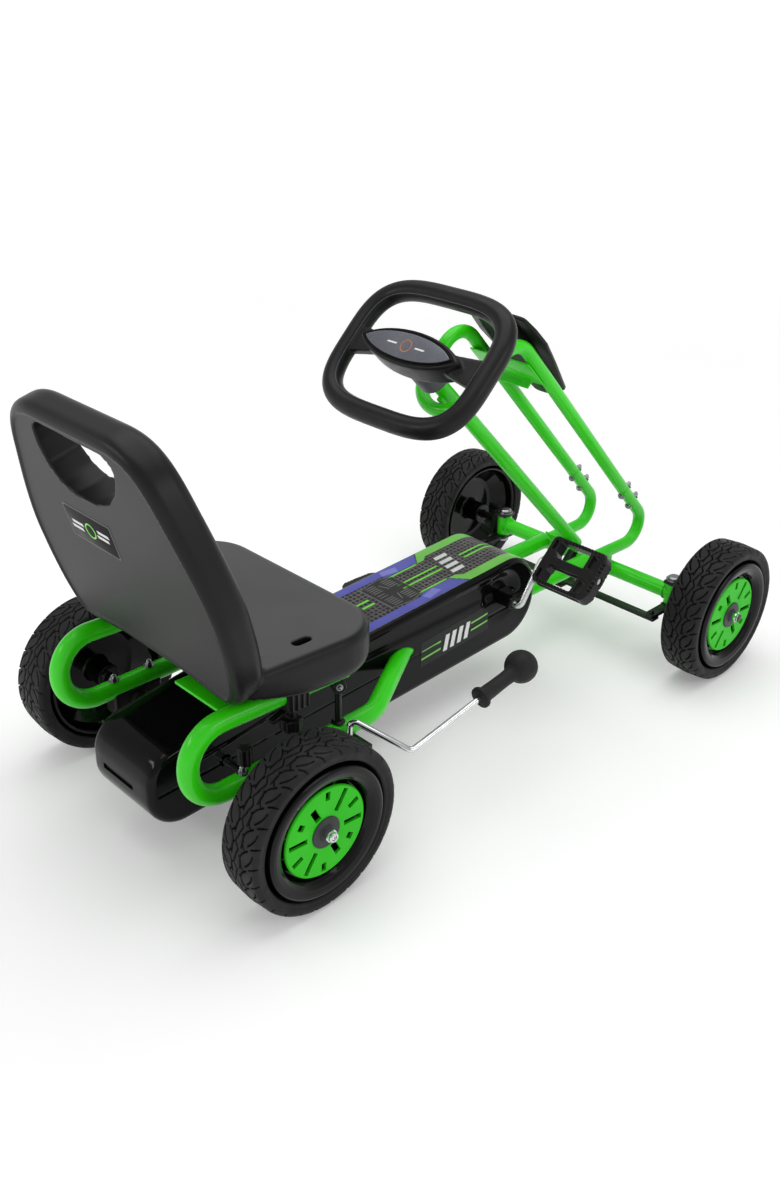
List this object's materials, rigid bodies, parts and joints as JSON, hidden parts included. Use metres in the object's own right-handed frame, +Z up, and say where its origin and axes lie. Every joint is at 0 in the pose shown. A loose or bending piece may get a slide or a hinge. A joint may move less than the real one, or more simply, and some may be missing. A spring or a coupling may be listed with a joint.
{
  "type": "pedal go kart",
  "caption": "Child's pedal go kart with a tube frame, chain drive to the rear axle, kingpin steering, sliding moulded seat, chain guard and hand brake.",
  "frame": {"origin": "on the ground, in the middle of the overall box", "axes": "+Z up, +Y to the rear, +X to the driver's left"},
  "size_m": [0.58, 1.018, 0.5945],
  "materials": {
    "green_paint": "gloss",
    "green_plastic": "semi-gloss",
    "satin_black": "satin",
    "gloss_black": "gloss",
    "black_moulding": "satin",
    "black_steel": "satin",
    "tyre_rubber": "matt",
    "black_rubber": "matt",
    "grey_plastic": "satin",
    "bright_steel": "bright plated",
    "chain_steel": "oiled"
  },
  "bodies": {
    "frame": {"front_axle_beam": "green_paint", "steering_column_tube": "green_paint", "steering_hoop": "green_paint", "hoop_cross_bracket": "green_paint", "front_shield": "satin_black", "column_foot_bracket": "green_paint", "hairpin_bolt_left_1": "bright_steel", "hairpin_bolt_left_2": "bright_steel", "hairpin_bolt_right_1": "bright_steel", "hairpin_bolt_right_2": "bright_steel", "frame_tube_left": "green_paint", "frame_tube_right": "green_paint", "saddle_plate": "green_paint", "chain_guard_upper": "gloss_black", "chain_guard_lower": "gloss_black", "crank_bearing_left": "black_moulding", "crank_bearing_right": "black_moulding", "axle_bearing_left": "black_moulding", "axle_bearing_right": "black_moulding", "kingpin_left": "bright_steel", "kingpin_right": "bright_steel", "seat_strut_left": "black_steel", "seat_strut_right": "black_steel", "drive_chain": "chain_steel", "column_bushing": "grey_plastic", "brake_pivot_clip": "black_steel"},
    "steering": {"steering_wheel": "satin_black", "hub_plate": "grey_plastic", "steering_shaft": "black_steel"},
    "knuckle_left": {"knuckle_left": "black_steel", "front_left_axle_nut": "bright_steel"},
    "knuckle_right": {"knuckle_right": "black_steel", "front_right_axle_nut": "bright_steel"},
    "track_rod": {"track_rod": "black_steel"},
    "front_wheel_left": {"front_left_tyre": "tyre_rubber", "front_left_rim": "gloss_black", "front_left_hub_disc": "green_plastic"},
    "front_wheel_right": {"front_right_tyre": "tyre_rubber", "front_right_rim": "gloss_black", "front_right_hub_disc": "green_plastic"},
    "rear_axle": {"rear_axle": "bright_steel", "axle_sprocket": "chain_steel", "rear_right_tyre": "tyre_rubber", "rear_right_rim": "gloss_black", "rear_right_hub_disc": "green_plastic", "rear_right_axle_nut": "bright_steel", "rear_left_axle_nut": "bright_steel"},
    "rear_wheel_left": {"rear_left_tyre": "tyre_rubber", "rear_left_rim": "gloss_black", "rear_left_hub_disc": "green_plastic"},
    "crank": {"crank": "bright_steel", "chainwheel": "chain_steel"},
    "pedal_left": {"pedal_left": "black_moulding"},
    "pedal_right": {"pedal_right": "black_moulding"},
    "brake": {"brake_lever": "bright_steel", "brake_grip": "black_rubber", "brake_shoe": "black_rubber"},
    "seat": {"seat": "satin_black", "seat_clamp_left": "black_moulding", "seat_clamp_right": "black_moulding"}
  },
  "joints": [
    {"name": "steering_turn", "type": "hinge", "parent": "frame", "child": "steering", "pos_m": [0, 0.00797, 0.516], "axis": [0, 0.7108, 0.7034], "range_deg": [-25, 25]},
    {"name": "knuckle_left_turn", "type": "hinge", "parent": "frame", "child": "knuckle_left", "pos_m": [0.172, -0.40303, 0.1035], "axis": [0, 0, 1], "range_deg": [-29, 29]},
    {"name": "knuckle_right_turn", "type": "hinge", "parent": "frame", "child": "knuckle_right", "pos_m": [-0.172, -0.40303, 0.1035], "axis": [0, 0, 1], "range_deg": [-29, 29]},
    {"name": "track_rod_turn", "type": "hinge", "parent": "knuckle_right", "child": "track_rod", "pos_m": [-0.172, -0.35103, 0.083], "axis": [0, 0, 1], "range_deg": [-29, 29]},
    {"name": "front_left_spin", "type": "hinge", "parent": "knuckle_left", "child": "front_wheel_left", "pos_m": [0.25, -0.40303, 0.106], "axis": [1, 0, 0], "continuous": true},
    {"name": "front_right_spin", "type": "hinge", "parent": "knuckle_right", "child": "front_wheel_right", "pos_m": [-0.25, -0.40303, 0.106], "axis": [1, 0, 0], "continuous": true},
    {"name": "rear_axle_spin", "type": "hinge", "parent": "frame", "child": "rear_axle", "pos_m": [0, 0.37697, 0.106], "axis": [1, 0, 0], "continuous": true},
    {"name": "rear_left_spin", "type": "hinge", "parent": "frame", "child": "rear_wheel_left", "pos_m": [0.219, 0.37697, 0.106], "axis": [1, 0, 0], "continuous": true},
    {"name": "crank_spin", "type": "hinge", "parent": "frame", "child": "crank", "pos_m": [0, -0.12003, 0.151], "axis": [1, 0, 0], "continuous": true},
    {"name": "pedal_left_spin", "type": "hinge", "parent": "crank", "child": "pedal_left", "pos_m": [0.15, -0.0772, 0.08822], "axis": [1, 0, 0], "continuous": true},
    {"name": "pedal_right_spin", "type": "hinge", "parent": "crank", "child": "pedal_right", "pos_m": [-0.15, -0.16286, 0.21378], "axis": [1, 0, 0], "continuous": true},
    {"name": "brake_pull", "type": "hinge", "parent": "frame", "child": "brake", "pos_m": [-0.208, 0.25897, 0.098], "axis": [-1, 0, 0], "range_deg": [0, 10]},
    {"name": "seat_slide", "type": "slide", "parent": "frame", "child": "seat", "axis": [0, 0.9996, 0.0276], "range_m": [-0.025, 0.025]}
  ],
  "couplings": [
    {"joint": "knuckle_left_turn", "follows": "steering_turn", "ratio": 1.1538},
    {"joint": "knuckle_right_turn", "follows": "steering_turn", "ratio": 1.1538},
    {"joint": "track_rod_turn", "follows": "steering_turn", "ratio": -1.1538},
    {"joint": "crank_spin", "follows": "rear_axle_spin", "ratio": 0.7}
  ]
}
